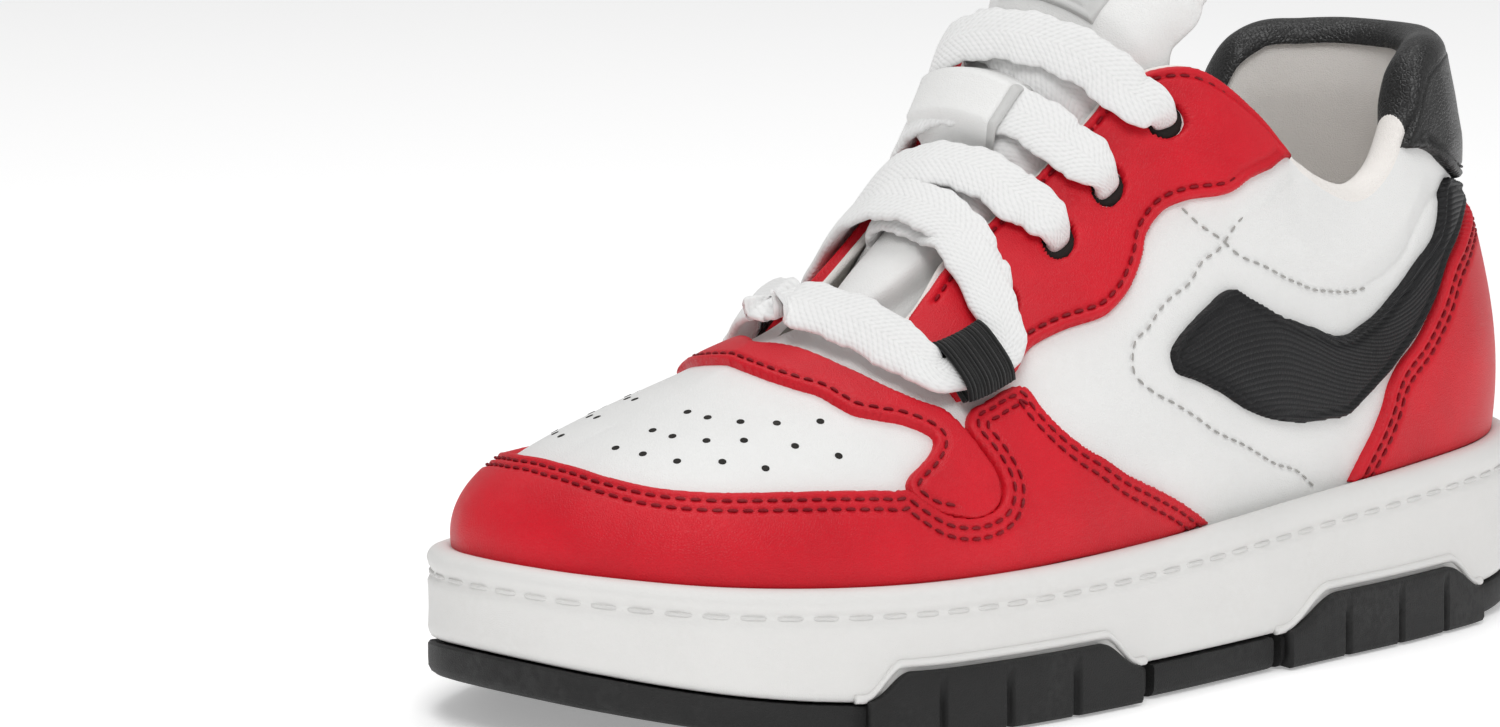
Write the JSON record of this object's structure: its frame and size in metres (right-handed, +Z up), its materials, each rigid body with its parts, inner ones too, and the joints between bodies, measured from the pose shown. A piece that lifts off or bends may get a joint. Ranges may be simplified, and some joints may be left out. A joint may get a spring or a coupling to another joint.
{
  "type": "sneaker",
  "caption": "Left low-top court sneaker for a child, laced up, with a stitched cupsole, lugged rubber outsole and a padded tongue whose top bends.",
  "frame": {"origin": "on the ground under the middle of the shoe's box in plan", "axes": "+X from the toe to the heel, +Y to the inner (medial) side, +Z up"},
  "size_m": [0.186, 0.0798, 0.1063],
  "materials": {
    "red_leather": "smooth, semi-gloss",
    "white_leather": "smooth, satin",
    "black_leather": "fine grain, satin",
    "black_rubber": "matte",
    "white_rubber": "matte",
    "white_thread": "twisted thread",
    "white_cotton": "flat woven",
    "lining_fabric": "brushed",
    "foam": "open cell",
    "board": "fibre board",
    "grey_label": "smooth",
    "black_webbing": "ribbed"
  },
  "bodies": {
    "shoe": {"outsole_toe": "black_rubber", "outsole_forefoot": "black_rubber", "outsole_midfoot": "black_rubber", "outsole_heel": "black_rubber", "cupsole": "white_rubber", "sole_stitching": "white_thread", "midsole_filler": "foam", "strobel_board": "board", "sockliner": "lining_fabric", "toe_vamp": "white_leather", "vamp_lining": "lining_fabric", "heel_counter": "board", "quarter_lateral": "white_leather", "eyestay_lateral": "red_leather", "side_stripe_lateral": "black_leather", "quarter_medial": "white_leather", "eyestay_medial": "red_leather", "side_stripe_medial": "black_leather", "quarter_lining": "lining_fabric", "collar_foam": "foam", "mudguard": "red_leather", "vamp_band": "red_leather", "heel_overlay": "red_leather", "heel_tab": "black_leather", "tongue_cover": "white_leather", "tongue_foam": "foam", "tongue_lining": "lining_fabric", "lace_keeper": "white_leather", "lace_loop_lateral": "black_webbing", "lace_loop_medial": "black_webbing", "lace": "white_cotton"},
    "tongue_top": {"tongue_top_cover": "white_leather", "tongue_top_foam": "foam", "tongue_top_lining": "lining_fabric", "tongue_label": "grey_label"}
  },
  "joints": [
    {"name": "tongue_top_bend", "type": "hinge", "parent": "shoe", "child": "tongue_top", "pos_m": [0.0106, 0.0006, 0.084], "axis": [0, 1, 0], "range_deg": [-12, 18]}
  ]
}
